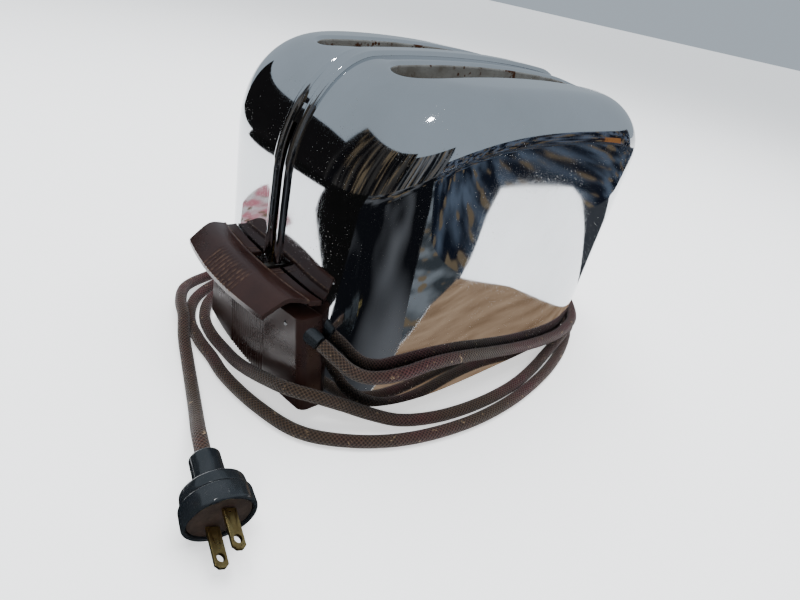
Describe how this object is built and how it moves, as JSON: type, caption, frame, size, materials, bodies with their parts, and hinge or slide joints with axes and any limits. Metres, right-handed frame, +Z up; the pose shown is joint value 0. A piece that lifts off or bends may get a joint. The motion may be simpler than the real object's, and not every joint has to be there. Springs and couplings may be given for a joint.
{
  "type": "pop up toaster",
  "caption": "Two-slice pop-up toaster with a bright round-shouldered shell, wing handles at both ends, a lever carriage, a hinged crumb tray and a braided cord with a plug.",
  "frame": {"origin": "middle of the body's outline on the surface the feet stand on", "axes": "+Z up, X along the bread slots with the lever end at -X, Y across the slots"},
  "size_m": [0.3746, 0.2354, 0.19],
  "materials": {
    "chrome": "bright plate, worn",
    "brown_moulding": "polished phenolic moulding",
    "steel": "plated sheet and wire",
    "black_sheet": "baked enamel",
    "mica": "mica sheet",
    "ribbon": "oxidised resistance ribbon",
    "shield": "bright sheet",
    "rubber": "moulded",
    "ceramic": "unglazed",
    "braid": "braided cotton",
    "black_moulding": "polished moulding",
    "fibre": "pressed fibre",
    "brass": "plain"
  },
  "bodies": {
    "toaster": {"body_shell": "chrome", "centre_moulding": "chrome", "front_panel": "brown_moulding", "back_panel": "brown_moulding", "back_handle": "brown_moulding", "guide_rod": "steel", "rod_bracket": "steel", "carriage_spring": "steel", "front_frame": "steel", "back_frame": "steel", "latch_pin": "steel", "latch_post_near": "steel", "tray_hinge_pin": "steel", "tray_lug_near": "steel", "tray_lug_far": "steel", "bread_guard_near_inner": "steel", "bread_guard_near_outer": "steel", "bread_guard_far_inner": "steel", "bread_guard_far_outer": "steel", "foot_screw_front_near": "steel", "foot_screw_front_far": "steel", "foot_screw_back_near": "steel", "foot_screw_back_far": "steel", "mica_card_near": "mica", "mica_card_centre": "mica", "mica_card_far": "mica", "heating_ribbon_near": "ribbon", "heating_ribbon_centre_near": "ribbon", "heating_ribbon_centre_far": "ribbon", "heating_ribbon_far": "ribbon", "heat_shield_near": "shield", "heat_shield_far": "shield", "bimetal_strip": "brass", "terminal_screw_near": "brass", "terminal_screw_far": "brass", "plug_blade_upper": "brass", "plug_blade_lower": "brass", "cord_sleeve": "black_moulding", "plug_body": "black_moulding", "terminal_block": "ceramic", "cord_clamp": "ceramic", "base_plate": "black_sheet", "foot_front_near": "rubber", "foot_front_far": "rubber", "foot_back_near": "rubber", "foot_back_far": "rubber", "cord": "braid", "plug_disc": "fibre"},
    "carriage": {"lever_handle": "brown_moulding", "lever_arm": "steel", "lever_screw_near": "steel", "lever_screw_far": "steel", "carriage_slider": "steel", "bread_rack_near": "steel", "bread_rack_far": "steel"},
    "latch": {"latch_lever": "steel"},
    "dial": {"browning_dial": "black_moulding"},
    "tray": {"crumb_tray": "steel", "tray_catch": "steel"}
  },
  "joints": [
    {"name": "lever_slide", "type": "slide", "parent": "toaster", "child": "carriage", "axis": [0, 0, 1], "range_m": [0, 0.072], "deforming": ["carriage_spring"]},
    {"name": "latch", "type": "hinge", "parent": "toaster", "child": "latch", "pos_m": [-0.106, 0, 0.024], "axis": [0, 1, 0], "range_deg": [0, 7]},
    {"name": "browning_dial", "type": "hinge", "parent": "toaster", "child": "dial", "pos_m": [-0.098, 0.03, 0.009], "axis": [0, 0, 1], "range_deg": [-150, 150]},
    {"name": "crumb_tray", "type": "hinge", "parent": "toaster", "child": "tray", "pos_m": [0.076, 0, 0.012], "axis": [0, -1, 0], "range_deg": [0, 80]}
  ]
}
